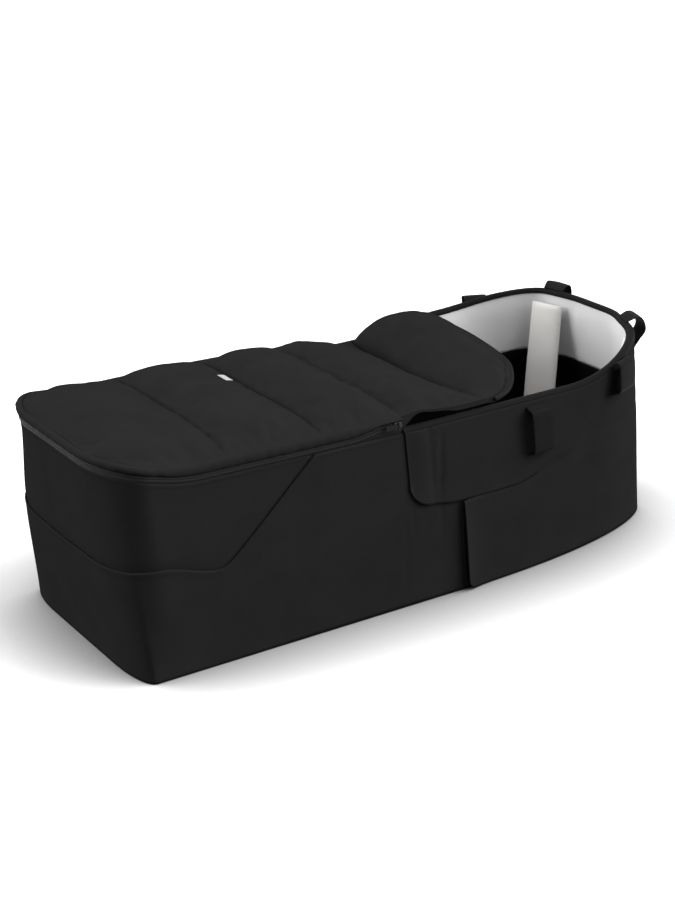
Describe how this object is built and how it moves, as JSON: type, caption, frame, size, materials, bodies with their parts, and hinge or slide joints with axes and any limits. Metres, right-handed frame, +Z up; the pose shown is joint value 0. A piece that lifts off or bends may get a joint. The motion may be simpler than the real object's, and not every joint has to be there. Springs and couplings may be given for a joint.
{
  "type": "carrycot",
  "caption": "Soft black carrycot with a zipped quilted foot cover, curling wind flap, white lining, folding corner stays and webbing loops",
  "frame": {"origin": "centre of the footprint on the floor", "axes": "+X towards the open head end, along the length; +Y towards the far side in the picture; +Z up"},
  "size_m": [0.8654, 0.3682, 0.2935],
  "materials": {
    "outer_fabric": "matt woven black",
    "cover_fabric": "smooth woven black, quilted",
    "edge_trim": "folded black tape",
    "webbing": "ribbed black webbing",
    "zip_tape": "black woven zip tape",
    "zip_chain": "moulded black zip chain",
    "zip_metal": "bright slider",
    "puller": "black pull tab",
    "white_lining": "soft white lining",
    "dark_lining": "dark brown-black lining",
    "stay_fabric": "white padded strap",
    "mattress_cover": "dark mattress cover",
    "board": "stiffening board",
    "base_skin": "coated base cloth",
    "wire": "spring wire",
    "label": "grey tag, bare"
  },
  "bodies": {
    "shell": {"base_skin": "base_skin", "base_board": "board", "mattress": "mattress_cover", "body_panel": "outer_fabric", "foot_upper_panel": "outer_fabric", "head_flap": "outer_fabric", "head_wrap": "outer_fabric", "foot_board": "board", "near_side_board": "board", "far_side_board": "board", "head_board": "board", "lower_lining": "dark_lining", "upper_lining": "white_lining", "rim_wire": "wire", "rim_binding": "edge_trim", "lower_zip_tape": "zip_tape", "lower_zip_chain": "zip_chain", "rear_upper_zip_tape": "zip_tape", "rear_upper_zip_chain": "zip_chain", "rear_piping": "edge_trim", "rear_cover": "cover_fabric", "near_stay_post": "stay_fabric", "far_stay_post": "stay_fabric", "near_side_loop": "webbing", "near_head_loop": "webbing", "near_corner_loop": "webbing", "far_side_loop": "webbing", "far_head_loop": "webbing", "far_corner_loop": "webbing"},
    "cover": {"front_cover": "cover_fabric", "near_upper_zip_tape": "zip_tape", "far_upper_zip_tape": "zip_tape", "near_upper_zip_chain": "zip_chain", "far_upper_zip_chain": "zip_chain", "near_piping": "edge_trim", "far_piping": "edge_trim", "label": "label"},
    "flap": {"wind_flap": "cover_fabric", "flap_binding": "edge_trim"},
    "near_slider": {"near_slider": "zip_metal"},
    "near_puller": {"near_puller": "puller"},
    "near_stay": {"near_stay": "stay_fabric"},
    "far_slider": {"far_slider": "zip_metal"},
    "far_puller": {"far_puller": "puller"},
    "far_stay": {"far_stay": "stay_fabric"}
  },
  "joints": [
    {"name": "cover_hinge", "type": "hinge", "parent": "shell", "child": "cover", "pos_m": [-0.27538, 0, 0.2842], "axis": [0, -1, 0], "range_deg": [0, 110]},
    {"name": "flap_hinge", "type": "hinge", "parent": "cover", "child": "flap", "pos_m": [0.10362, 0, 0.2538], "axis": [0, -1, 0], "range_deg": [0, 120]},
    {"name": "near_slider_slide", "type": "slide", "parent": "shell", "child": "near_slider", "axis": [-0.9998, 0, 0.0221], "range_m": [0, 0.246]},
    {"name": "near_puller_hinge", "type": "hinge", "parent": "near_slider", "child": "near_puller", "pos_m": [-0.03686, -0.17434, 0.25546], "axis": [0, 0, 1], "range_deg": [0, 170]},
    {"name": "near_stay_hinge", "type": "hinge", "parent": "shell", "child": "near_stay", "pos_m": [0.35026, -0.08637, 0.07], "axis": [-0.6366, -0.7712, 0], "range_deg": [0, 97]},
    {"name": "far_slider_slide", "type": "slide", "parent": "shell", "child": "far_slider", "axis": [-0.9998, 0, 0.0221], "range_m": [0, 0.246]},
    {"name": "far_puller_hinge", "type": "hinge", "parent": "far_slider", "child": "far_puller", "pos_m": [-0.03686, 0.17434, 0.25546], "axis": [0, 0, -1], "range_deg": [0, 170]},
    {"name": "far_stay_hinge", "type": "hinge", "parent": "shell", "child": "far_stay", "pos_m": [0.36253, 0.06766, 0.084], "axis": [0.4217, -0.9067, 0], "range_deg": [0, 97]}
  ]
}
